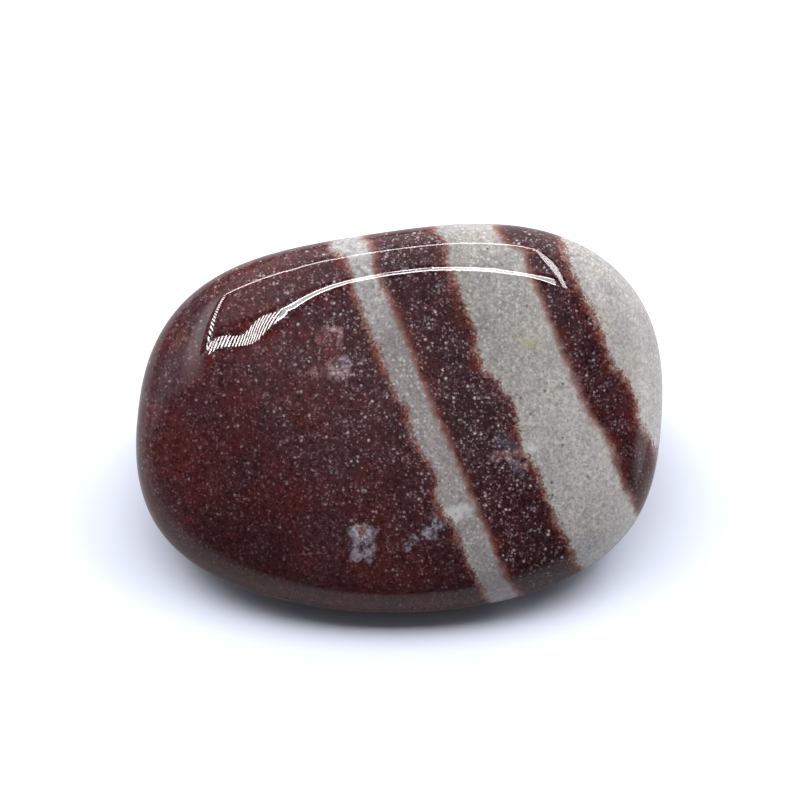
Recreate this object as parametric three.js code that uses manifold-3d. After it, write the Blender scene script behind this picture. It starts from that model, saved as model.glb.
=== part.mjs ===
// Tumbled stone: one polished pebble that lies on a small flat it has worn on its underside.
// Millimetres, +Z up, +X along the longest side; the origin is under the middle of the pebble, on the table.

import * as THREE from "three";
import { mergeVertices } from "three/addons/utils/BufferGeometryUtils.js";
import Module from "manifold-3d";

// Overall size of the finished pebble
const LENGTH = 38;
const WIDTH = 25.6;
const HEIGHT = 15.8;
const FOOT_WEAR = 0.8; // depth worn away below, which leaves the flat that the pebble rests on

// The rounded block that the pebble grew out of: the higher a power, the squarer that outline
const BLOCK_LENGTH = 37.4;
const BLOCK_WIDTH = 25;
const BLOCK_THICKNESS = 12.8;
const PLAN_POWER = 2.7;
const CROWN_POWER = 3;
const UNDERSIDE_POWER = 2.6;

// The wedge: how much thicker the back edge is than the middle, and how steeply the block rises to the back
const BACK_THICKENING = 0.515;
const BACK_RISE = 0.297;

// Bulges round the rim: how many there are, how far they stand out, and where the first one points from +X
const BULGES = [
  { count: 1, swell: 0.052, heading: -64 },
  { count: 2, swell: 0.0355, heading: 46 },
  { count: 3, swell: 0.02, heading: 44.5 },
  { count: 4, swell: 0.01, heading: 5.5 },
  { count: 5, swell: 0.0033, heading: 32 },
];

// Gentle swells and hollows of the upper face: the middle, how wide it spreads and how high it stands
const FACE_RELIEF = [
  { x: -10, y: -1, spread: 3.3, height: 0.44 },
  { x: 1.6, y: 2.6, spread: 4, height: -0.37 },
  { x: -13.9, y: 2.4, spread: 2.3, height: -0.22 },
  { x: -4.8, y: 2.2, spread: 2.5, height: -0.15 },
];
const FACE_EDGE = 0.3; // slope of the direction, seen from the middle, where the face gives way to the rim

// Cells along each edge of the cube that the surface net starts from
const NET_CELLS = 26;

// Share by which the bulges lengthen the block's reach in a direction, fading out towards top and bottom
function bulge(direction) {
  const heading = Math.atan2(direction.y, direction.x);
  const level = Math.hypot(direction.x, direction.y);
  let share = 1;
  for (const { count, swell, heading: first } of BULGES) {
    share += swell * level ** count * Math.cos(count * (heading - THREE.MathUtils.degToRad(first)));
  }
  return share;
}

// Point of the bulging block's surface in a direction from its middle
function blockPoint(direction) {
  const alongX = Math.abs(direction.x) / (BLOCK_LENGTH / 2);
  const alongY = Math.abs(direction.y) / (BLOCK_WIDTH / 2);
  const alongZ = Math.abs(direction.z) / (BLOCK_THICKNESS / 2);
  const outward = (alongX ** PLAN_POWER + alongY ** PLAN_POWER) ** (1 / PLAN_POWER);
  const power = direction.z > 0 ? CROWN_POWER : UNDERSIDE_POWER;
  const reach = (outward ** power + alongZ ** power) ** (-1 / power);
  return direction.clone().multiplyScalar(reach * bulge(direction));
}

// Turns the block's even thickness into a wedge that is low in front and high at the back
function wedge(point) {
  const towardsBack = point.y / (BLOCK_WIDTH / 2);
  point.z = point.z * (1 + BACK_THICKENING * towardsBack) + BACK_RISE * point.y;
  return point;
}

// Height that the swells and hollows add to the face at a point, fading out towards the rim
function relief(point, direction) {
  let height = 0;
  for (const { x, y, spread, height: middle } of FACE_RELIEF) {
    const away = Math.hypot(point.x - x, point.y - y) / spread;
    height += middle * Math.exp((-away * away) / 2);
  }
  return height * THREE.MathUtils.smoothstep(direction.z, 0, FACE_EDGE);
}

// Closed net of a cube's six faces, spread evenly over a ball and then drawn onto the wedge
function pebbleSurface() {
  const cube = new THREE.BoxGeometry(2, 2, 2, NET_CELLS, NET_CELLS, NET_CELLS);
  cube.deleteAttribute("normal");
  cube.deleteAttribute("uv");
  const net = mergeVertices(cube);
  const places = net.getAttribute("position");
  const even = (side) => Math.tan((side * Math.PI) / 4);
  for (let i = 0; i < places.count; i += 1) {
    const corner = new THREE.Vector3().fromBufferAttribute(places, i);
    const direction = new THREE.Vector3(even(corner.x), even(corner.y), even(corner.z)).normalize();
    const point = wedge(blockPoint(direction));
    point.z += relief(point, direction);
    places.setXYZ(i, point.x, point.y, point.z);
  }
  return net;
}

// Brings a surface to the overall size, with the part still to be worn away below the table
function fitToSize(surface) {
  surface.computeBoundingBox();
  const size = surface.boundingBox.getSize(new THREE.Vector3());
  surface.scale(LENGTH / size.x, WIDTH / size.y, (HEIGHT + FOOT_WEAR) / size.z);
  surface.center();
  surface.translate(0, 0, (HEIGHT - FOOT_WEAR) / 2);
  return surface;
}

// Cuts a closed surface off flat at the table and closes the cut
async function wearFlat(surface) {
  const solids = await Module();
  solids.setup();
  const whole = new solids.Manifold(
    new solids.Mesh({
      numProp: 3,
      vertProperties: new Float32Array(surface.getAttribute("position").array),
      triVerts: new Uint32Array(surface.index.array),
    }),
  );
  const worn = whole.trimByPlane([0, 0, 1], 0).getMesh();
  const geometry = new THREE.BufferGeometry();
  geometry.setAttribute("position", new THREE.BufferAttribute(worn.vertProperties, worn.numProp));
  geometry.setIndex(new THREE.BufferAttribute(worn.triVerts, 1));
  geometry.computeVertexNormals();
  return geometry;
}

const polishedMaroon = new THREE.MeshStandardMaterial({ color: 0x55322f, roughness: 0.15, metalness: 0 });

const stone = new THREE.Mesh(await wearFlat(fitToSize(pebbleSurface())), polishedMaroon);
stone.name = "stone";

const pebble = new THREE.Group();
pebble.add(stone);

export default pebble;
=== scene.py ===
# %% [markdown]
# # A tumbled stone
# A tumbled stone is a chip of rock that has rolled in a drum with grit until its edges were round,
# and then with polish until it shone. This one is a banded sandstone: dark maroon layers full of pale
# sand grains, between layers of greyish quartz sand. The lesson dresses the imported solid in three
# steps: a finer surface, a finish that runs through the rock as the layers do, and a small studio to
# look at it in.

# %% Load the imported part
import math

import bmesh
import bpy
from mathutils import Matrix, Vector, noise


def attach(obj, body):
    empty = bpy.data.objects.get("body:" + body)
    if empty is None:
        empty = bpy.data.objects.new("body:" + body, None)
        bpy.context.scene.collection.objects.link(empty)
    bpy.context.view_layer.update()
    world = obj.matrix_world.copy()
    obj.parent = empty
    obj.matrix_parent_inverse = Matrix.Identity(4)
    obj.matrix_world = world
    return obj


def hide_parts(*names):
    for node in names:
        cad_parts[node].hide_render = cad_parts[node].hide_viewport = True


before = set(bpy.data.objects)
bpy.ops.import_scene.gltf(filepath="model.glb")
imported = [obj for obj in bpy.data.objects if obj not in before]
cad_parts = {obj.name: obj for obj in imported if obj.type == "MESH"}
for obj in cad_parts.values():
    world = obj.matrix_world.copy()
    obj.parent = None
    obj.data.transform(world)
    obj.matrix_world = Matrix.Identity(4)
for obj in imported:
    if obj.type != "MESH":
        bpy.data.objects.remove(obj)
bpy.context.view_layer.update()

MM = 0.001
scene = bpy.context.scene
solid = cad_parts["stone"]

# %% [markdown]
# ## The worn surface
# Grit leaves no edge on a tumbled stone, only long soft waves that show when a lamp's reflection runs
# over them. The solid is faceted, so it would reflect as a mirror ball does. Sculpting would lose its
# measured shape. Instead its own points are kept as the cage of a subdivision surface: pairs of
# triangles are joined back into four-sided cells, each point is lifted or lowered by up to two
# hundredths of a millimetre, and the modifier rounds everything in between.

# %% Draw a smooth net over the solid
WELD = 0.01 * MM
FOOT_MARGIN = 0.4 * MM  # points this close to the table keep their place
WAVE_HEIGHT = 0.02 * MM
WAVES_PER_MM = 0.14
ROUNDING_STEPS = 2
PAIR_ANGLE = math.radians(50)


def wave(place):
    """Height of the soft waves that the grit has left at a place on the surface."""
    return WAVE_HEIGHT * noise.noise(place / MM * WAVES_PER_MM)


def worn_surface(solid, name):
    """Smooth piece over a faceted solid, with the solid's points as its cage."""
    net = bmesh.new()
    net.from_mesh(solid.data)
    bmesh.ops.remove_doubles(net, verts=net.verts, dist=WELD)
    foot = [face for face in net.faces if max(corner.co.z for corner in face.verts) < WELD]
    bmesh.ops.dissolve_faces(net, faces=foot, use_verts=True)
    bmesh.ops.join_triangles(
        net,
        faces=[face for face in net.faces if len(face.verts) == 3],
        angle_face_threshold=PAIR_ANGLE,
        angle_shape_threshold=PAIR_ANGLE,
    )
    net.normal_update()
    for point in net.verts:
        if point.co.z > FOOT_MARGIN:
            point.co += point.normal * wave(point.co)
    for face in net.faces:
        face.smooth = True
    cage = bpy.data.meshes.new(name)
    net.to_mesh(cage)
    net.free()
    piece = bpy.data.objects.new(name, cage)
    scene.collection.objects.link(piece)
    rounding = piece.modifiers.new("rounding", "SUBSURF")
    rounding.levels = ROUNDING_STEPS
    rounding.render_levels = ROUNDING_STEPS
    return piece


stone = worn_surface(solid, "polished_stone")
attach(stone, "root")
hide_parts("stone")
print("cage cells:", len(stone.data.polygons))

# %% [markdown]
# ## Helpers for the finish
# A procedural finish is a network of nodes. A few small helpers keep it readable: one adds a node and
# fills its sockets, and the others wrap the kinds that come up most often, which are sums, soft
# steps, clouds, and blends of two colours.

# %% Node helpers


def feed(tree, socket, source):
    """Links a socket to another node's output, or sets it to a plain value."""
    if isinstance(source, bpy.types.NodeSocket):
        tree.links.new(source, socket)
    else:
        socket.default_value = source


def add(tree, kind, inputs=(), **settings):
    """Adds a node, sets its options, and feeds its sockets by name or by order."""
    node = tree.nodes.new(kind)
    for option, value in settings.items():
        setattr(node, option, value)
    pairs = inputs.items() if isinstance(inputs, dict) else enumerate(inputs)
    for key, source in pairs:
        feed(tree, node.inputs[key], source)
    return node


def calc(tree, operation, *values):
    """Result of one sum."""
    return add(tree, "ShaderNodeMath", values, operation=operation).outputs[0]


def scaled(tree, value, low, high):
    """Value between 0 and 1, spread between two others."""
    return calc(tree, "MULTIPLY_ADD", value, high - low, low)


def step(tree, value, low, high):
    """Soft step from 0 at low to 1 at high, which falls where low is the greater of the two."""
    node = add(tree, "ShaderNodeMapRange", [value, low, high, 0.0, 1.0], interpolation_type="SMOOTHSTEP")
    return node.outputs["Result"]


def blend(tree, share, first, second):
    """Colour between two others."""
    node = add(tree, "ShaderNodeMix", data_type="RGBA")
    for index, source in zip((0, 6, 7), (share, first, second)):
        feed(tree, node.inputs[index], source)
    return node.outputs[2]


def shaded(tree, colour, value):
    """Colour made darker or lighter."""
    return add(tree, "ShaderNodeHueSaturation", {"Value": value, "Color": colour}).outputs[0]


def clouds(tree, place, per_mm, detail, shift):
    """Noise node whose clouds, about per_mm to the millimetre, are moved so that no two sets match."""
    offset = (shift, -shift, 2 * shift)
    moved = add(tree, "ShaderNodeVectorMath", [place, offset], operation="ADD").outputs[0]
    return add(tree, "ShaderNodeTexNoise", {"Vector": moved, "Scale": per_mm, "Detail": detail})


def cloud(tree, place, per_mm, detail, shift):
    """Cloudy value around one half."""
    return clouds(tree, place, per_mm, detail, shift).outputs[0]


def tint(red, green, blue):
    """Colour of a picture's red, green and blue, 0 to 255, as the linear values that shaders use."""
    def linear(level):
        share = level / 255
        return share / 12.92 if share <= 0.04045 else ((share + 0.055) / 1.055) ** 2.4

    return (linear(red), linear(green), linear(blue), 1.0)


print("mid grey as shaders use it:", round(tint(128, 128, 128)[0], 3))

# %% [markdown]
# ## Sand grains
# The rock is sand. A cut and polished grain shows as a soft round speck, and no two are equally
# bright, because each one lies at its own depth under the polish. Modelling the grains would take
# millions of faces. A Voronoi texture divides space into cells, one to a grain, and gives every cell
# a random colour. The grains are needed at two sizes, so this is a node group: it puts out the speck
# as a mask, and a tone and a hue that are the same all over one grain.

# %% Node group for sand grains


def group(name, inputs, outputs):
    """Empty node group with named inputs and outputs, and its two end nodes."""
    tree = bpy.data.node_groups.new(name, "ShaderNodeTree")
    for label, kind in inputs:
        tree.interface.new_socket(label, in_out="INPUT", socket_type=kind)
    for label, kind in outputs:
        tree.interface.new_socket(label, in_out="OUTPUT", socket_type=kind)
    return tree, add(tree, "NodeGroupInput"), add(tree, "NodeGroupOutput")


NUMBER, VECTOR = "NodeSocketFloat", "NodeSocketVector"
GRAIN_CORE = 0.2  # share of a grain's size that is fully lit


def sand_grains():
    """Specks of the lit grains, with a tone and a hue for every grain."""
    tree, given, result = group(
        "sand_grains",
        [("Place", VECTOR), ("Grains per mm", NUMBER), ("Lit share", NUMBER), ("Size", NUMBER)],
        [("Speck", NUMBER), ("Tone", NUMBER), ("Hue", NUMBER)],
    )
    where = {"Vector": given.outputs["Place"], "Scale": given.outputs["Grains per mm"]}
    cells = add(tree, "ShaderNodeTexVoronoi", where)
    chance = add(tree, "ShaderNodeSeparateColor", [cells.outputs["Color"]])
    lit = calc(tree, "LESS_THAN", chance.outputs["Red"], given.outputs["Lit share"])
    core = calc(tree, "MULTIPLY", given.outputs["Size"], GRAIN_CORE)
    outside = step(tree, cells.outputs["Distance"], core, given.outputs["Size"])
    inside = calc(tree, "SUBTRACT", 1.0, outside)
    feed(tree, result.inputs["Speck"], calc(tree, "MULTIPLY", inside, lit))
    feed(tree, result.inputs["Tone"], chance.outputs["Green"])
    feed(tree, result.inputs["Hue"], chance.outputs["Blue"])
    return tree


GRAINS = sand_grains()


def grains(tree, place, per_mm, lit_share, size):
    """Specks of one size of grain, with their tones and hues."""
    node = add(tree, "ShaderNodeGroup", [place, per_mm, lit_share, size], node_tree=GRAINS)
    return node.outputs["Speck"], node.outputs["Tone"], node.outputs["Hue"]


print("node group:", GRAINS.name)

# %% [markdown]
# ## Spots
# Here and there the rock has a spot of its own: a healed patch, a rusty core, or a tongue that the
# stain has pushed into a pale layer. All of them are round regions with a ragged rim, so one more
# node group serves them. It measures how far a place is from the middle of the spot, and falls off
# between a full core and the spot's reach. The rim is ragged because the place that it is given
# already is.

# %% Node group for spots


def spot_mask():
    """Mask of a spot: 1 in its core, which is a share of its reach, and 0 from the reach on."""
    tree, given, result = group(
        "spot",
        [("Place", VECTOR), ("Middle", VECTOR), ("Reach", NUMBER), ("Core", NUMBER)],
        [("Mask", NUMBER)],
    )
    ends = [given.outputs["Place"], given.outputs["Middle"]]
    away = add(tree, "ShaderNodeVectorMath", ends, operation="DISTANCE").outputs["Value"]
    outside = step(tree, calc(tree, "DIVIDE", away, given.outputs["Reach"]), given.outputs["Core"], 1.0)
    feed(tree, result.inputs["Mask"], calc(tree, "SUBTRACT", 1.0, outside))
    return tree


SPOT = spot_mask()


def spot(tree, place, middle, reach, core):
    """Mask of one spot, its middle and reach in millimetres."""
    return add(tree, "ShaderNodeGroup", [place, middle, reach, core], node_tree=SPOT).outputs["Mask"]


print("node group:", SPOT.name)

# %% [markdown]
# ## Bedding
# The bands are layers of sand that settled one on another, so they are flat sheets through the whole
# stone, and each one comes out again on the back and the underside. Painting stripes on the surface
# would not do that. Here each point of the rock is given its depth along the line that crosses the
# layers, and a layer is a range of depths. Iron in the water stained some layers maroon, and where it
# stopped it left a rusty fringe, wider on some edges than on others.

# %% Node group for the layers
ACROSS_LAYERS = Vector((0.906, 0.254, 0.339)).normalized()
LAYER_EDGES = (  # mm of depth where maroon and pale take turns, and mm of rust in the maroon there
    (3.3, 0.8),
    (5.42, 0.9),
    (10.16, 1.2),
    (15.24, 0.9),
    (18.06, 1.2),
)
FRINGE_END = 0.32  # mm into the pale layer where the last of the rust is gone


def bedding():
    """Masks of the pale layers and of the rust beside them."""
    tree, given, result = group(
        "bedding",
        [("Depth", NUMBER), ("Softness", NUMBER), ("Rust reach", NUMBER)],
        [("Pale", NUMBER), ("Rust", NUMBER)],
    )
    pale = -float(len(LAYER_EDGES) // 2)  # so that the sum over all edges comes out as 0 or 1
    rust = 0.0
    soft = given.outputs["Softness"]
    for number, (edge, reach) in enumerate(LAYER_EDGES):
        towards_pale = 1.0 if number % 2 == 0 else -1.0
        inside = calc(tree, "MULTIPLY", calc(tree, "SUBTRACT", given.outputs["Depth"], edge), towards_pale)
        crossed = step(tree, inside, calc(tree, "MULTIPLY", soft, -1.0), soft)
        pale = calc(tree, "ADD", pale, crossed)
        width = calc(tree, "MULTIPLY", given.outputs["Rust reach"], -reach)
        beside = calc(tree, "SUBTRACT", step(tree, inside, width, 0.0), step(tree, inside, 0.0, FRINGE_END))
        rust = calc(tree, "MAXIMUM", rust, beside)
    feed(tree, result.inputs["Pale"], pale)
    feed(tree, result.inputs["Rust"], rust)
    return tree


BEDDING = bedding()


def layers(tree, depth, softness, rust_reach):
    """Where the pale layers are, and the rust beside them."""
    node = add(tree, "ShaderNodeGroup", [depth, softness, rust_reach], node_tree=BEDDING)
    return node.outputs["Pale"], node.outputs["Rust"]


print("layers:", len(LAYER_EDGES) + 1)

# %% [markdown]
# ## Where the finish is read
# Every texture of this finish is solid: it is read at a place in the rock, in millimetres, so that it
# runs on round the rim and through to the back. Smooth places would give drawn looking shapes. So the
# place is first stirred by a fine noise, and the depth across the layers is disturbed three times
# more: by slow waves, by the tongues that show in the photograph, and grain by grain, because stain
# follows the grains.

# %% Places and depths in the rock
STIR_MM, STIRS_PER_MM = 0.34, 1.5
SHAKE_MM, SHAKES_PER_MM = 0.07, 6.0
STIR_DETAIL, STIR_SHIFT = 2.0, 7.0
SLOW_CLOUD = (0.22, 1.0, 3.0)  # clouds to the mm, detail and shift, as for all clouds below
SLOW_WAVE_MM = 0.5
GRAIN_STEP_MM = 0.26
TONGUE_CORE = 0.35
TONGUES = (  # middle in mm, reach in mm, and how far the layers are pushed aside there
    ((-5.0, 9.95, 14.6), 1.4, 0.4),
    ((-3.7, 7.6, 14.7), 1.6, -0.35),
    ((0.15, -1.9, 10.75), 1.0, -0.38),
    ((-1.9, 9.2, 15.1), 1.6, -0.32),
    ((1.9, 0.7, 12.0), 0.9, 0.25),
    ((4.6, -4.6, 9.2), 0.9, 0.25),
    ((3.0, 9.2, 15.4), 1.6, -0.4),
    ((7.6, -0.4, 11.45), 0.9, 0.25),
    ((2.2, -5.9, 8.5), 1.5, -0.25),
    ((2.7, -7.6, 7.3), 1.6, 0.35),
    ((5.5, 1.3, 12.4), 2.0, 0.5),
    ((7.8, -1.3, 10.9), 2.0, -0.4),
    ((9.2, -4.0, 9.3), 0.65, 0.6),
    ((7.6, -11.7, 3.2), 2.4, 0.1),
    ((7.4, 10.4, 15.6), 2.4, 1.0),
    ((14.9, -3.1, 8.8), 2.0, -0.35),
    ((16.6, 0.4, 10.1), 2.2, -0.45),
)


def rock_place(tree):
    """Place in the rock, in millimetres."""
    metres = add(tree, "ShaderNodeTexCoord").outputs["Object"]
    to_mm = {"Vector": metres, "Scale": 1 / MM}
    return add(tree, "ShaderNodeVectorMath", to_mm, operation="SCALE").outputs[0]


def stirred(tree, place, reach, per_mm):
    """The same place, moved a little by a noise."""
    swirl = clouds(tree, place, per_mm, STIR_DETAIL, STIR_SHIFT).outputs["Color"]
    centred = add(tree, "ShaderNodeVectorMath", [swirl, (0.5, 0.5, 0.5)], operation="SUBTRACT").outputs[0]
    span = (2 * reach, 2 * reach, 2 * reach)
    return add(tree, "ShaderNodeVectorMath", [centred, span, place], operation="MULTIPLY_ADD").outputs[0]


def rock_depth(tree, place, ragged, grain_tone):
    """Depth across the layers, with the uneven fronts of the iron stain."""
    across = add(tree, "ShaderNodeVectorMath", [ragged, ACROSS_LAYERS], operation="DOT_PRODUCT")
    depth = across.outputs["Value"]
    slow = calc(tree, "SUBTRACT", cloud(tree, place, *SLOW_CLOUD), 0.5)
    depth = calc(tree, "MULTIPLY_ADD", slow, SLOW_WAVE_MM, depth)
    for middle, reach, push in TONGUES:
        depth = calc(tree, "MULTIPLY_ADD", spot(tree, ragged, middle, reach, TONGUE_CORE), push, depth)
    return calc(tree, "MULTIPLY_ADD", calc(tree, "SUBTRACT", grain_tone, 0.5), GRAIN_STEP_MM, depth)


print("tongues:", len(TONGUES))

# %% [markdown]
# ## Healed patches
# A few spots break the even sand: a brick red core with a thin pink rim, lavender patches of finer
# quartz, a streak that crosses a band, a straw coloured stain, and a darker stretch low at the front
# left. Inlays of mesh would stand out from the surface, but on the stone these are only colour, so
# they are blended into the sand. They are listed with their middles and reaches, as they lie
# on the face. Three more on the back and below, where the photograph doesn't look, keep those sides
# from looking bare.
# The darker stretch low at the front left is painted shade, where the face turns down and away from the
# light.

# %% Patches in the maroon and in the pale layers
PATCH_CORE = 0.5
PATCH_WORN = 0.3  # share of a patch's cover that is left where the mottle wears it thin
LAVENDER = tint(132, 127, 140)
PINK = tint(152, 120, 122)
BRICK = tint(86, 29, 25)
# painted shade for the stretch low at the front left, where the face turns down away from the light
PAINTED_SHADE = tint(38, 17, 19)
SLATE = tint(64, 65, 80)
CHALK = tint(198, 196, 196)
STRAW = tint(172, 162, 122)
MAROON_PATCHES = (  # middle in mm, reach in mm, colour, and how much of the sand it covers
    # painted shade low at the front left
    ((-11.0, -9.5, 5.2), 4.8, PAINTED_SHADE, 0.55),
    ((-5.0, 2.75, 12.95), 1.15, PINK, 0.5),
    ((-5.05, 2.6, 12.87), 1.05, BRICK, 1.0),
    ((-5.05, 3.55, 13.25), 0.32, PINK, 0.5),
    ((-4.65, 3.55, 13.25), 0.32, PINK, 0.6),
    ((-4.25, 3.4, 13.2), 0.32, PINK, 0.7),
    ((-4.22, 3.0, 13.0), 0.3, PINK, 0.7),
    ((-4.25, 2.6, 12.8), 0.3, PINK, 0.65),
    ((-4.32, 2.15, 12.6), 0.3, PINK, 0.5),
    ((-5.9, 0.6, 12.1), 0.7, PINK, 0.35),
    ((-4.4, 0.8, 12.1), 1.1, PINK, 0.65),
    ((-4.6, 0.6, 12.0), 0.5, CHALK, 0.15),
    ((-3.9, 1.3, 12.3), 0.55, LAVENDER, 0.75),
    ((-2.6, -9.8, 5.75), 1.15, LAVENDER, 0.8),
    ((-3.4, -9.2, 6.2), 0.55, LAVENDER, 0.6),
    ((-2.0, -9.2, 6.25), 0.55, LAVENDER, 0.55),
    ((-3.0, -10.5, 5.2), 0.6, LAVENDER, 0.8),
    ((-2.1, -10.5, 5.2), 0.6, LAVENDER, 0.7),
    ((-2.7, -9.1, 6.3), 0.7, CHALK, 0.8),
    ((-2.68, -9.12, 6.28), 0.44, BRICK, 1.0),
    ((0.95, -9.6, 5.9), 0.5, LAVENDER, 0.7),
    ((0.5, -10.0, 5.6), 0.45, LAVENDER, 0.6),
    ((2.15, -9.2, 6.2), 0.7, LAVENDER, 0.85),
    ((2.7, -8.7, 6.6), 0.65, LAVENDER, 0.8),
    ((2.9, -8.1, 7.0), 0.8, PINK, 0.7),
    ((7.4, -3.6, 9.6), 0.85, SLATE, 0.95),
    ((8.25, -3.75, 9.45), 0.75, SLATE, 0.95),
    ((6.8, -4.7, 9.0), 0.55, PINK, 0.7),
    ((7.6, -4.5, 9.1), 0.5, PINK, 0.85),
    ((8.5, -4.4, 9.1), 0.5, PINK, 0.9),
    ((8.1, -4.95, 8.8), 0.55, LAVENDER, 0.65),
    ((8.5, -5.5, 8.4), 0.55, SLATE, 0.9),
    ((8.85, -5.1, 8.6), 0.35, PINK, 0.7),
    ((-9.0, 11.5, 9.5), 1.6, LAVENDER, 0.7),
    ((-13.0, 6.5, 4.5), 1.1, PINK, 0.6),
    ((-6.0, -4.0, 0.0), 1.4, LAVENDER, 0.7),
)
PALE_PATCHES = (
    ((-2.5, 7.5, 14.6), 5.5, CHALK, 0.42),
    ((3.6, -8.2, 6.9), 0.9, CHALK, 0.8),
    ((4.5, -7.9, 7.0), 0.8, CHALK, 0.8),
    ((9.3, -4.0, 9.25), 0.55, CHALK, 0.8),
    ((9.3, 2.6, 13.1), 0.9, STRAW, 0.45),
)


def patched(tree, colour, ragged, mottle, patches):
    """Colour of the sand with its patches, which the mottle wears thin here and there."""
    for middle, reach, patch, cover in patches:
        thickness = scaled(tree, mottle, PATCH_WORN * cover, cover)
        share = calc(tree, "MULTIPLY", spot(tree, ragged, middle, reach, PATCH_CORE), thickness)
        colour = blend(tree, share, colour, patch)
    return colour


print("patches:", len(MAROON_PATCHES) + len(PALE_PATCHES))

# %% [markdown]
# ## Maroon and pale sand
# The maroon is never one colour: it drifts between purple and rusty brown, gets sootier from layer to
# layer, and each grain is a little lighter or darker than the next. Over that lie the pale grains,
# thick in some clumps and thin in others, most of them faint and a few bright, and fewest at the
# front of the first layer. The pale sand is grey, pinker in the first band, with lighter and darker
# grains. Towards the rim all grains are fainter, as under a veil. Each of these is a function that
# takes the masks it needs and gives back a colour or fainter grains.
# The pale sand is also painted lighter towards the front and darker towards the back, in place of fill light
# from the front.

# %% Colours of the two kinds of sand
MAROON_PURPLE = tint(62, 33, 37)
MAROON_RUSTY = tint(71, 31, 30)
MAROON_SOOT = tint(41, 19, 23)
SPECK_FAINT = tint(124, 93, 96)
SPECK_PINK = tint(206, 184, 182)
SPECK_BLUE = tint(188, 190, 204)
PALE_COOL = tint(143, 140, 138)
PALE_WARM = tint(151, 146, 141)
PALE_PINK = tint(148, 141, 140)
PALE_GRAIN = tint(200, 197, 196)
PALE_PIT = tint(84, 82, 80)
SOOT_FROM, SOOT_FULL = -3.0, 8.0  # mm of depth
SAND_FROM, SAND_FULL = -12.0, 8.0  # mm of depth between which the pale grains thicken
SAND_FRONT, SAND_BACK = -11.0, -4.0  # mm between which the first layer gets sandier towards the back
SECOND_LAYER = (3.0, 5.0)  # mm of depth
PINK_ENDS = (4.5, 8.0)  # mm of depth where the pale sand loses its pink
PALE_FROM, PALE_FULL = 4.0, 17.0  # mm of depth between which the pale sand gets lighter
# painted light: the pale sand is made lighter towards the front, in place of fill light from there
PAINTED_FILL_FRONT, PAINTED_FILL_BACK = -12.0, 10.0  # mm between which it gets darker towards the back

RUSTY_CLOUD, RUSTY_EDGE = (0.28, 4.0, 5.0), (0.42, 0.6)
SOOT_CLOUD, SOOT_SHARE = (0.9, 3.0, 41.0), (0.0, 1.2)
MOTTLE_SHADE, FINE_SHADE, COARSE_SHADE = (0.8, 1.2), (0.58, 1.42), (0.84, 1.16)
FIRST_LAYER_SAND, SAND_SHARE = (0.65, 1.0), (0.35, 1.15)
FINE_SPECKS, COARSE_SPECKS, SPECK_POWER = (0.15, 0.5), (0.12, 0.97), 2.5
PALE_CLOUD, PALE_EDGE = (0.35, 3.0, 17.0), (0.35, 0.65)
# the second pair is painted light, the pale sand's shade from the front to the back
PALE_DEPTH_SHADE, PAINTED_FILL_SHADE = (0.75, 1.24), (1.36, 0.88)
PALE_FINE_SHADE, PALE_COARSE_SHADE = (0.77, 1.23), (0.86, 1.14)
PALE_GRAIN_SHARE, PIT_SHARE = 0.6, 0.07
VEILED_SPECKS, VEILED_TONES = 0.6, 0.7


def veiled(tree, specks, clear):
    """Specks, tones and hues of grains, fainter where the surface is less clear."""
    speck, tone, hue = specks
    speck = calc(tree, "MULTIPLY", speck, scaled(tree, clear, VEILED_SPECKS, 1.0))
    centred = calc(tree, "SUBTRACT", tone, 0.5)
    tone = calc(tree, "MULTIPLY_ADD", centred, scaled(tree, clear, VEILED_TONES, 1.0), 0.5)
    return speck, tone, hue


def maroon_sand(tree, place, y, ragged, mottle, depth, fine, coarse):
    """Colour of the maroon layers."""
    rusty = step(tree, cloud(tree, place, *RUSTY_CLOUD), *RUSTY_EDGE)
    colour = blend(tree, rusty, MAROON_PURPLE, MAROON_RUSTY)
    sooty = scaled(tree, cloud(tree, place, *SOOT_CLOUD), *SOOT_SHARE)
    soot = calc(tree, "MULTIPLY", step(tree, depth, SOOT_FROM, SOOT_FULL), sooty)
    colour = blend(tree, soot, colour, MAROON_SOOT)
    colour = patched(tree, colour, ragged, mottle, MAROON_PATCHES)
    colour = shaded(tree, colour, scaled(tree, mottle, *MOTTLE_SHADE))
    colour = shaded(tree, colour, scaled(tree, fine[1], *FINE_SHADE))
    colour = shaded(tree, colour, scaled(tree, coarse[1], *COARSE_SHADE))
    first_layer = scaled(tree, step(tree, y, SAND_FRONT, SAND_BACK), *FIRST_LAYER_SAND)
    sandy = calc(tree, "MAXIMUM", first_layer, step(tree, depth, *SECOND_LAYER))
    thicker = scaled(tree, step(tree, depth, SAND_FROM, SAND_FULL), *SAND_SHARE)
    sandy = calc(tree, "MULTIPLY", sandy, thicker)
    for (speck, tone, hue), strength in ((fine, FINE_SPECKS), (coarse, COARSE_SPECKS)):
        sharp = calc(tree, "POWER", tone, SPECK_POWER)
        share = calc(tree, "MULTIPLY", speck, scaled(tree, sharp, *strength))
        share = calc(tree, "MULTIPLY", share, sandy)
        bright = blend(tree, hue, SPECK_PINK, SPECK_BLUE)
        colour = blend(tree, share, colour, blend(tree, sharp, SPECK_FAINT, bright))
    return colour


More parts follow.
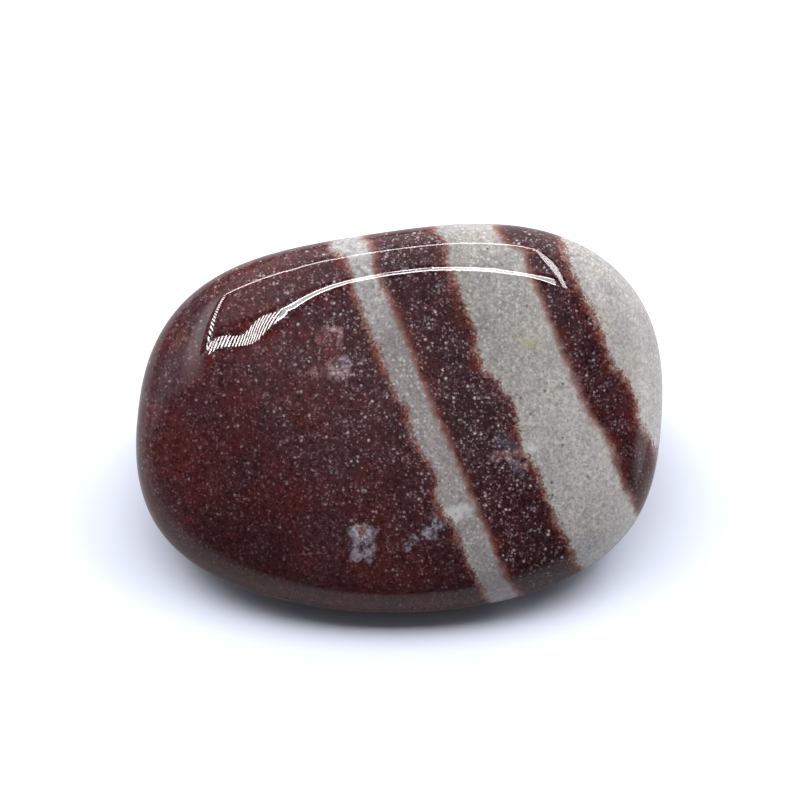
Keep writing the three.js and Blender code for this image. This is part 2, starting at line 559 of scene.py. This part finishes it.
def pale_sand(tree, place, y, depth, fine, coarse):
    """Colour of the pale layers."""
    warm = step(tree, cloud(tree, place, *PALE_CLOUD), *PALE_EDGE)
    colour = blend(tree, warm, PALE_COOL, PALE_WARM)
    colour = blend(tree, step(tree, depth, *PINK_ENDS), PALE_PINK, colour)
    by_depth = scaled(tree, step(tree, depth, PALE_FROM, PALE_FULL), *PALE_DEPTH_SHADE)
    # painted fill light: the pale sand lighter towards the front and darker towards the back
    painted_fill = scaled(tree, step(tree, y, PAINTED_FILL_FRONT, PAINTED_FILL_BACK), *PAINTED_FILL_SHADE)
    colour = shaded(tree, shaded(tree, colour, by_depth), painted_fill)
    colour = shaded(tree, colour, scaled(tree, fine[1], *PALE_FINE_SHADE))
    speck, tone, _ = coarse
    colour = shaded(tree, colour, scaled(tree, tone, *PALE_COARSE_SHADE))
    colour = blend(tree, calc(tree, "MULTIPLY", speck, PALE_GRAIN_SHARE), colour, PALE_GRAIN)
    pit = calc(tree, "MULTIPLY", speck, calc(tree, "LESS_THAN", tone, PIT_SHARE))
    return blend(tree, pit, colour, PALE_PIT)


print("purple maroon as shaders use it:", [round(level, 3) for level in MAROON_PURPLE[:3]])

# %% [markdown]
# ## The finish
# Now the layers, the grains, the patches and the polish come together in one material. A rust
# coloured fringe runs along each edge, where the iron thinned out. The polish is a very low roughness
# that the grains break up a little, with a bump far below a thousandth of a millimetre, so that the
# lamps' thin reflections are not quite even.

# %% Material of the banded stone
RUST_DARK = tint(92, 34, 29)
RUST_LIGHT = tint(150, 90, 72)
CLUMP_CLOUD, CLUMP_EDGE = (0.7, 3.0, 29.0), (0.35, 0.68)
MOTTLE_CLOUD, MOTTLE_EDGE = (2.6, 3.0, 71.0), (0.36, 0.6)
STAIN_CLOUD, STAIN_EDGE = (0.9, 3.0, 53.0), (0.3, 0.7)
FINE_PER_MM, FINE_LIT, FINE_SIZE = 7.0, (0.26, 0.74), 0.8
COARSE_PER_MM, COARSE_LIT, COARSE_SIZE = 4.0, (0.13, 0.5), 0.62
LAYER_SOFTNESS, RUST_REACH = 0.4, (0.4, 1.35)
FRINGE_SHADE, RUST_ON_GRAINS, RUST_IN_STAIN = (0.7, 1.3), (0.5, 1.0), (0.65, 1.0)
VEIL_RIGHT = (18.0, 12.0)  # mm along each axis, from the veiled rim to the clear face
VEIL_BACK = (12.5, 9.0)
VEIL_FOOT = (2.5, 5.5)
POLISH, POLISH_ON_GRAINS = 0.015, 0.04
QUARTZ_IOR = 1.54
BUMP_CLOUD, BUMP_MM = (4.0, 1.0, 61.0), 0.0003


def banded_stone():
    """Polished sandstone with maroon and pale layers."""
    material = bpy.data.materials.new("banded_stone")
    material.use_nodes = True
    tree = material.node_tree
    shader = tree.nodes["Principled BSDF"]
    place = rock_place(tree)
    x, y, z = add(tree, "ShaderNodeSeparateXYZ", [place]).outputs
    ragged = stirred(tree, place, STIR_MM, STIRS_PER_MM)
    shaken = stirred(tree, place, SHAKE_MM, SHAKES_PER_MM)
    clump = step(tree, cloud(tree, place, *CLUMP_CLOUD), *CLUMP_EDGE)
    mottle = step(tree, cloud(tree, place, *MOTTLE_CLOUD), *MOTTLE_EDGE)
    fine = grains(tree, shaken, FINE_PER_MM, scaled(tree, clump, *FINE_LIT), FINE_SIZE)
    coarse = grains(tree, shaken, COARSE_PER_MM, scaled(tree, clump, *COARSE_LIT), COARSE_SIZE)
    depth = rock_depth(tree, place, ragged, fine[1])
    inner = calc(tree, "MULTIPLY", step(tree, x, *VEIL_RIGHT), step(tree, y, *VEIL_BACK))
    clear = calc(tree, "MULTIPLY", inner, step(tree, z, *VEIL_FOOT))
    fine = veiled(tree, fine, clear)
    coarse = veiled(tree, coarse, clear)
    stain = step(tree, cloud(tree, place, *STAIN_CLOUD), *STAIN_EDGE)
    pale, rust = layers(tree, depth, LAYER_SOFTNESS, scaled(tree, stain, *RUST_REACH))
    maroon = maroon_sand(tree, place, y, ragged, mottle, depth, fine, coarse)
    sand = pale_sand(tree, place, y, depth, fine, coarse)
    sand = patched(tree, sand, ragged, mottle, PALE_PATCHES)
    fringe = blend(tree, pale, RUST_DARK, RUST_LIGHT)
    fringe = shaded(tree, fringe, scaled(tree, fine[1], *FRINGE_SHADE))
    rusted = calc(tree, "MULTIPLY", rust, scaled(tree, coarse[1], *RUST_ON_GRAINS))
    rusted = calc(tree, "MULTIPLY", rusted, scaled(tree, stain, *RUST_IN_STAIN))
    colour = blend(tree, rusted, blend(tree, pale, maroon, sand), fringe)
    feed(tree, shader.inputs["Base Color"], colour)
    feed(tree, shader.inputs["Roughness"], scaled(tree, fine[0], POLISH, POLISH_ON_GRAINS))
    shader.inputs["IOR"].default_value = QUARTZ_IOR
    height = cloud(tree, place, *BUMP_CLOUD)
    bump = add(tree, "ShaderNodeBump", {"Distance": BUMP_MM * MM, "Height": height})
    feed(tree, shader.inputs["Normal"], bump.outputs["Normal"])
    return material


stone.data.materials.clear()
stone.data.materials.append(banded_stone())
print("nodes in the finish:", len(stone.data.materials[0].node_tree.nodes))

# %% [markdown]
# ## The table
# The stone lies on a plain board of slightly bluish white, larger than the view, so that no edge of
# it shows. Mirrored in the polish, so bright a board would light up the whole lower rim, which is
# dark in the photograph. So the board is greyer to rays that come from a reflection, with a faint
# glow of its own, because the shadow under the stone would be black there. The Light Path node tells
# such rays from the others.

# %% Table
TABLE_SIDE = 2.0
BOARD_WHITE = (0.755, 0.785, 0.9, 1.0)
BOARD_MIRRORED = (0.32, 0.32, 0.325, 1.0)
MIRRORED_GLOW = 0.11
BOARD_ROUGHNESS = 0.9


def plate(name, width, depth, middle, turn=0.0):
    """Flat rectangle, turned about the vertical through its middle."""
    x, y = width / 2, depth / 2
    corners = [(-x, -y, 0.0), (x, -y, 0.0), (x, y, 0.0), (-x, y, 0.0)]
    mesh = bpy.data.meshes.new(name)
    mesh.from_pydata(corners, [], [(0, 1, 2, 3)])
    piece = bpy.data.objects.new(name, mesh)
    piece.matrix_world = Matrix.Translation(middle) @ Matrix.Rotation(turn, 4, "Z")
    scene.collection.objects.link(piece)
    return piece


def white_board_with_painted_glow():
    """Matt white board, greyer to rays that come from a reflection, where it also has a painted glow."""
    material = bpy.data.materials.new("white_board_with_painted_glow")
    material.use_nodes = True
    tree = material.node_tree
    shader = tree.nodes["Principled BSDF"]
    mirrored = add(tree, "ShaderNodeLightPath").outputs["Is Glossy Ray"]
    feed(tree, shader.inputs["Base Color"], blend(tree, mirrored, BOARD_WHITE, BOARD_MIRRORED))
    shader.inputs["Emission Color"].default_value = (1.0, 1.0, 1.0, 1.0)
    feed(tree, shader.inputs["Emission Strength"], calc(tree, "MULTIPLY", mirrored, MIRRORED_GLOW))
    shader.inputs["Roughness"].default_value = BOARD_ROUGHNESS
    shader.inputs["Specular IOR Level"].default_value = 0.0
    return material


table = plate("table", TABLE_SIDE, TABLE_SIDE, (0.0, 0.0, 0.0))
table.data.materials.append(white_board_with_painted_glow())
print("table, m:", TABLE_SIDE)

# %% [markdown]
# ## The light bars
# A polished stone shows its surroundings, so the studio is part of its look. Above the stone hangs a
# rectangle of light bars, and its reflection is the bright loop near the back edge. On the left part
# of the front bar and on the two sides the lamp chips are bare and lie slantwise, so the reflection
# is hatched. Elsewhere a cover runs them together into two fine lines. The strip sags and fans out
# where the reflection in the photograph does. A picture of the chips could be laid on the bars, but a
# cosine along the strip makes them from a few numbers. The bars are emitting mesh that only
# reflections see. What they would light is left to a soft box, which gives softer shadows.

# %% Light bars
BAR_HEIGHT = 250 * MM
FRAME_LEFT, FRAME_RIGHT = -187 * MM, 95 * MM
FRAME_FRONT, FRAME_BACK = 6 * MM, 146 * MM
FRAME_TURN = math.radians(-0.8)
RIGHT_FRONT_END, RIGHT_BACK_END = (113 * MM, 1 * MM), (83 * MM, 153 * MM)
BARE_END = -31 * MM  # where the cover of the front bar begins
BAR_WIDTH, PLATE_WIDTH = 9 * MM, 32 * MM
BARE_GLOW, COVERED_GLOW = 31.0, 44.0
FIRST_PITCH, LAST_PITCH = 7.2 * MM, 9.8 * MM  # from chip to chip, at the two ends of the bare front bar
SLANT = 1.2  # along the bar for each step across it
CHIP_EDGE = (-0.1, 0.6)
FRONT_FANS = ((-72 * MM, 50 * MM, 6.5 * MM), (97 * MM, 42 * MM, 4 * MM))  # middle, reach, spread
RIGHT_FAN = (0.0, 72 * MM, 5.5 * MM)
FRONT_SAG = (-110 * MM, 66 * MM, 8.5 * MM)
ROW_PLACE = 0.82  # share of the half width where a row lies
ROW_EDGE = (0.48 * MM, 1.12 * MM)
BETWEEN_ROWS = 0.2
LAMP_COLOUR = (1.0, 0.98, 0.98, 1.0)


def swell(tree, along, middle, reach, height):
    """Height of a soft swelling at a place along a bar."""
    away = calc(tree, "ABSOLUTE", calc(tree, "SUBTRACT", along, middle))
    return scaled(tree, step(tree, away, 0.0, reach), height, 0.0)


def lamp_chips(tree, along):
    """Mask of the chips along a bar, which stand closer together at its start."""
    length = BARE_END - FRAME_LEFT
    travelled = calc(tree, "ADD", along, length / 2)
    growth = (1 / LAST_PITCH - 1 / FIRST_PITCH) / (2 * length)
    per_length = calc(tree, "MULTIPLY_ADD", travelled, growth, 1 / FIRST_PITCH)
    count = calc(tree, "MULTIPLY", travelled, per_length)
    turned = calc(tree, "MULTIPLY", count, 2 * math.pi)
    return step(tree, calc(tree, "COSINE", turned), *CHIP_EDGE)


def lamp_strip(name, bare, middle=0.0, fans=(), sag=None):
    """Strip that glows along X: slanted bare chips, or two rows under a cover, wider where it fans out."""
    material = bpy.data.materials.new(name)
    material.use_nodes = True
    tree = material.node_tree
    tree.nodes.clear()
    place = add(tree, "ShaderNodeTexCoord").outputs["Object"]
    along, across, _ = add(tree, "ShaderNodeSeparateXYZ", [place]).outputs
    in_frame = calc(tree, "ADD", along, middle)
    if sag:
        across = calc(tree, "ADD", across, swell(tree, in_frame, *sag))
    half_width = BAR_WIDTH / 2
    for fan in fans:
        half_width = calc(tree, "ADD", half_width, swell(tree, in_frame, *fan))
    aside = calc(tree, "ABSOLUTE", across)
    lit = calc(tree, "LESS_THAN", aside, half_width)
    if bare:
        pattern = lamp_chips(tree, calc(tree, "MULTIPLY_ADD", across, -SLANT, along))
    else:
        row = calc(tree, "MULTIPLY", half_width, ROW_PLACE)
        from_row = calc(tree, "ABSOLUTE", calc(tree, "SUBTRACT", aside, row))
        off_row = step(tree, from_row, *ROW_EDGE)
        pattern = scaled(tree, off_row, 1.0, BETWEEN_ROWS)
    lit = calc(tree, "MULTIPLY", lit, pattern)
    strength = calc(tree, "MULTIPLY", lit, BARE_GLOW if bare else COVERED_GLOW)
    glow = add(tree, "ShaderNodeEmission", {"Color": LAMP_COLOUR, "Strength": strength})
    add(tree, "ShaderNodeOutputMaterial", {"Surface": glow.outputs[0]})
    return material


def bar(name, start, end, material):
    """Light bar between two points of the frame."""
    run = Vector(end) - Vector(start)
    middle = (Vector(start) + Vector(end)) / 2
    hung = (middle.x, middle.y, BAR_HEIGHT)
    piece = plate(name, run.length, PLATE_WIDTH, hung, math.atan2(run.y, run.x))
    piece.matrix_world = Matrix.Rotation(FRAME_TURN, 4, "Z") @ piece.matrix_world
    piece.data.materials.append(material)
    piece.visible_camera = False
    piece.visible_diffuse = False


front_chips = lamp_strip("front_chips", True, (FRAME_LEFT + BARE_END) / 2, FRONT_FANS, FRONT_SAG)
front_rows = lamp_strip("front_rows", False, (BARE_END + FRAME_RIGHT) / 2, FRONT_FANS)
back_rows = lamp_strip("back_rows", False)
left_chips = lamp_strip("left_chips", True)
right_chips = lamp_strip("right_chips", True, 0.0, [RIGHT_FAN])
BARS = {
    "bar_front_left": ((FRAME_LEFT, FRAME_FRONT), (BARE_END, FRAME_FRONT), front_chips),
    "bar_front_right": ((BARE_END, FRAME_FRONT), (FRAME_RIGHT, FRAME_FRONT), front_rows),
    "bar_back": ((FRAME_LEFT, FRAME_BACK), RIGHT_BACK_END, back_rows),
    "bar_left": ((FRAME_LEFT, FRAME_FRONT), (FRAME_LEFT, FRAME_BACK), left_chips),
    "bar_right": (RIGHT_FRONT_END, RIGHT_BACK_END, right_chips),
}
for name, (start, end, rows) in BARS.items():
    bar(name, start, end, rows)
print("light bars:", len(BARS))

# %% [markdown]
# ## The soft box
# A broad lamp above and a little behind the stone gives the light itself. It throws the shadow
# forwards, under the front edge. It is kept out of the reflections, where the bars show instead.

# %% Soft box
SOFT_BOX_SIZE = (560 * MM, 170 * MM)
SOFT_BOX_MIDDLE = Vector((-10, 117, 255)) * MM
SOFT_BOX_WATTS = 1.66

lamp = bpy.data.lights.new("soft_box", "AREA")
lamp.shape = "RECTANGLE"
lamp.size, lamp.size_y = SOFT_BOX_SIZE
lamp.energy = SOFT_BOX_WATTS
soft_box = bpy.data.objects.new("soft_box", lamp)
soft_box.location = SOFT_BOX_MIDDLE
soft_box.visible_camera = False
soft_box.visible_glossy = False
scene.collection.objects.link(soft_box)
print("soft box, W:", lamp.energy)

# %% [markdown]
# ## The tent
# Round the table stands a small white tent that is open in front. It is made as the world's own
# light, from the direction alone: a wall at each side that is bright near its top and ends towards
# the back, a back wall that is dimmer in its left corner, a greyer ceiling that ends above the stone
# with a little haze in front of it, a low glow round the foot, and on the right a wall that reaches
# further forward. The opening is almost dark, which keeps the polished face deep in colour. Only rays
# that come from a reflection see all this. The others get a gentler fill, and the camera sees plain
# white.

# %% Tent
WALL_GLOW = 2.3
WALL_FOOT_GLOW = 0.6
BACK_GLOW = 0.9
CEILING_GLOW = 0.58
HAZE_GLOW = 0.3
RIGHT_GLOW = 1.35
OPENING_GLOW = 0.04
SWEEP_GLOW = 0.4
SWEEP_TOP = (0.12, 0.55)  # how high the glow round the foot reaches, in front and at the sides
# Each pair below is where a part of the tent begins and where it is full. It is measured sideways or back
# for each step up, or, in WALL_FRONT, SWEEP_BACK, SIDE_FRONT and the RIGHT pairs, along the axes themselves.
WALL_TOP = (0.72, 0.8)
WALL_FOOT = (0.86, 1.12)
WALL_FRONT = (-0.1, 0.1)
WALL_BACK = (0.9, 0.5)
BACK_TOP = (0.75, 0.9)
BACK_LEFT = (1.1, 0.75)
BACK_LEFT_SHARE = 0.25
SWEEP_BACK = (0.6, 0.2)
SWEEP_BACK_SHARE = 0.6
CEILING_FRONT = (-0.04, 0.06)
CEILING_LEFT = (1.1, 0.8)
HAZE_FRONT = (-0.95, -0.05)
HAZE_ASIDE = (0.7, 0.2)
RIGHT_ASIDE = (0.5, 0.8)
RIGHT_FRONT = (-0.4, -0.15)
RIGHT_TOP = (0.5, 0.3)
FILL_SHARE = 0.2  # of its glow in reflections, what the tent adds to the light
EVEN_FILL = 0.07
SIDE_FILL = 4.0
SIDE_TOP = (0.45, 0.9)
SIDE_FRONT = (0.15, 0.4)
LOWEST_RISE = 0.02  # keeps the divisions below from running away at the horizon
TENT_COLOUR = (0.95, 0.975, 1.0, 1.0)


def tent():
    """World light of a white tent that is open in front."""
    world = bpy.data.worlds.new("tent")
    world.use_nodes = True
    tree = world.node_tree
    tree.nodes.clear()
    direction = add(tree, "ShaderNodeTexCoord").outputs["Generated"]
    x, y, z = add(tree, "ShaderNodeSeparateXYZ", [direction]).outputs
    up = calc(tree, "MAXIMUM", z, LOWEST_RISE)
    aside = calc(tree, "DIVIDE", calc(tree, "ABSOLUTE", x), up)
    behind = calc(tree, "DIVIDE", y, up)
    walls = calc(tree, "MULTIPLY", step(tree, aside, *WALL_TOP), step(tree, y, *WALL_FRONT))
    walls = calc(tree, "MULTIPLY", walls, step(tree, behind, *WALL_BACK))
    leftwards = calc(tree, "DIVIDE", x, calc(tree, "MULTIPLY", up, -1.0))
    back_left = scaled(tree, step(tree, leftwards, *BACK_LEFT), BACK_LEFT_SHARE, 1.0)
    back = calc(tree, "MULTIPLY", step(tree, behind, *BACK_TOP), back_left)
    ceiling_left = step(tree, leftwards, *CEILING_LEFT)
    ceiling = calc(tree, "MULTIPLY", step(tree, behind, *CEILING_FRONT), ceiling_left)
    haze = calc(tree, "MULTIPLY", step(tree, behind, *HAZE_FRONT), step(tree, aside, *HAZE_ASIDE))
    down_wall = scaled(tree, step(tree, aside, *WALL_FOOT), WALL_GLOW, WALL_FOOT_GLOW)
    walls = calc(tree, "MULTIPLY", walls, down_wall)
    sweep_top = scaled(tree, calc(tree, "ABSOLUTE", x), *SWEEP_TOP)
    sweep = calc(tree, "SUBTRACT", 1.0, step(tree, z, 0.0, sweep_top))
    sweep = calc(tree, "MULTIPLY", sweep, scaled(tree, step(tree, y, *SWEEP_BACK), SWEEP_BACK_SHARE, 1.0))
    right = calc(tree, "MULTIPLY", step(tree, x, *RIGHT_ASIDE), step(tree, y, *RIGHT_FRONT))
    right = calc(tree, "MULTIPLY", right, step(tree, z, *RIGHT_TOP))
    light = OPENING_GLOW
    for part, glow in (
        (right, RIGHT_GLOW),
        (sweep, SWEEP_GLOW),
        (walls, 1.0),
        (back, BACK_GLOW),
        (ceiling, CEILING_GLOW),
        (haze, HAZE_GLOW),
    ):
        light = calc(tree, "MAXIMUM", light, calc(tree, "MULTIPLY", part, glow))
    ray = add(tree, "ShaderNodeLightPath").outputs
    sides = calc(tree, "MULTIPLY", step(tree, aside, *SIDE_TOP), step(tree, y, *SIDE_FRONT))
    fill = calc(tree, "MULTIPLY_ADD", light, FILL_SHARE, EVEN_FILL)
    fill = calc(tree, "MULTIPLY_ADD", sides, SIDE_FILL, fill)
    light = calc(tree, "MULTIPLY_ADD", ray["Is Glossy Ray"], calc(tree, "SUBTRACT", light, fill), fill)
    strength = calc(tree, "MAXIMUM", light, ray["Is Camera Ray"])
    glow = add(tree, "ShaderNodeBackground", {"Color": TENT_COLOUR, "Strength": strength})
    add(tree, "ShaderNodeOutputWorld", {"Surface": glow.outputs[0]})
    return world


scene.world = tent()
print("world:", scene.world.name)

# %% [markdown]
# ## The camera
# The photograph looks down on the stone at a bit over half a right angle, from thirty centimetres
# away, with a long lens. The lens follows from how many pixels of the 800 pixel wide picture a
# millimetre of the stone takes up.

# %% Camera
PICTURE_PIXELS = 800
PIXELS_PER_MM = 13.89
CAMERA_DISTANCE = 300 * MM
CAMERA_RISE = math.radians(55)
AIM = Vector((0.01, 1.6, 7.12)) * MM

lens = bpy.data.cameras.new("camera")
lens.lens = lens.sensor_width * PIXELS_PER_MM * CAMERA_DISTANCE / MM / PICTURE_PIXELS
camera = bpy.data.objects.new("camera", lens)
towards_camera = Vector((0.0, -math.cos(CAMERA_RISE), math.sin(CAMERA_RISE)))
camera.location = AIM + towards_camera * CAMERA_DISTANCE
camera.rotation_euler = towards_camera.to_track_quat("Z", "Y").to_euler()
scene.collection.objects.link(camera)
scene.camera = camera
scene.view_settings.view_transform = "Standard"
print("lens, mm:", round(lens.lens, 1))
